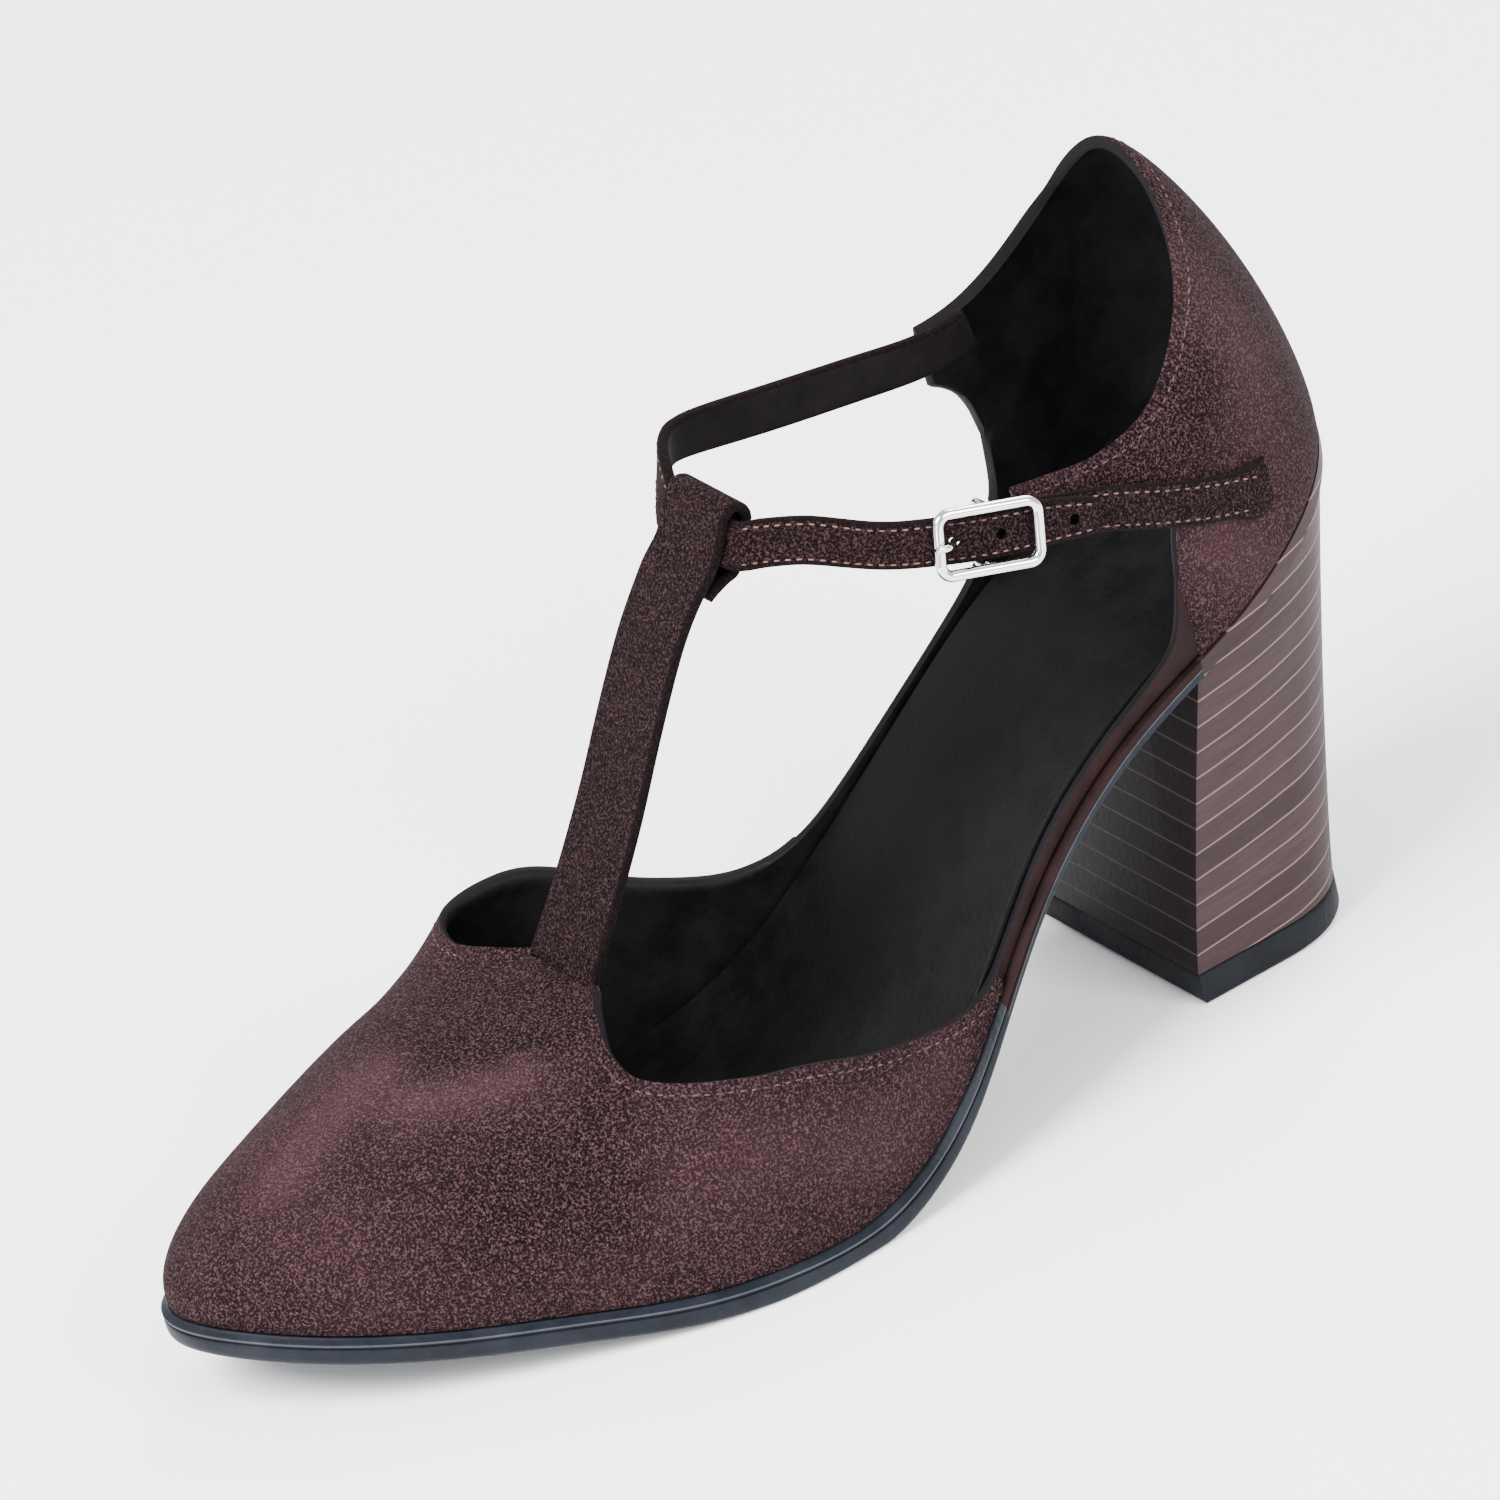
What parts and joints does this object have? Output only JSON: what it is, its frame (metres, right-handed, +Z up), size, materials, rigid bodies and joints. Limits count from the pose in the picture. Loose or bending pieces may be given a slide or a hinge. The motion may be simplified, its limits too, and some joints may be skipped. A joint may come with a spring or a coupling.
{
  "type": "t strap shoe",
  "caption": "Woman's left T strap shoe in suede with closed toe and heel, open waist sides, buckled ankle strap and stacked block heel.",
  "frame": {"origin": "middle of the shoe's length and width, on the floor that the sole and the heel stand on", "axes": "+Z up, +Y from the toe to the heel, +X to the outer side of the foot"},
  "size_m": [0.0846, 0.2192, 0.1294],
  "materials": {
    "suede": "matt suede",
    "sock": "smooth black lining",
    "sole": "satin",
    "stack": "satin stacked layers",
    "rubber": "satin",
    "nickel": "polished"
  },
  "bodies": {
    "root": {"upper": "suede", "outsole": "sole", "insole": "sock", "heel_block": "stack", "top_piece": "rubber", "t_strap": "suede", "ankle_strap": "suede", "buckle_strap": "suede", "buckle_frame": "nickel", "buckle_prong": "nickel"}
  },
  "joints": []
}
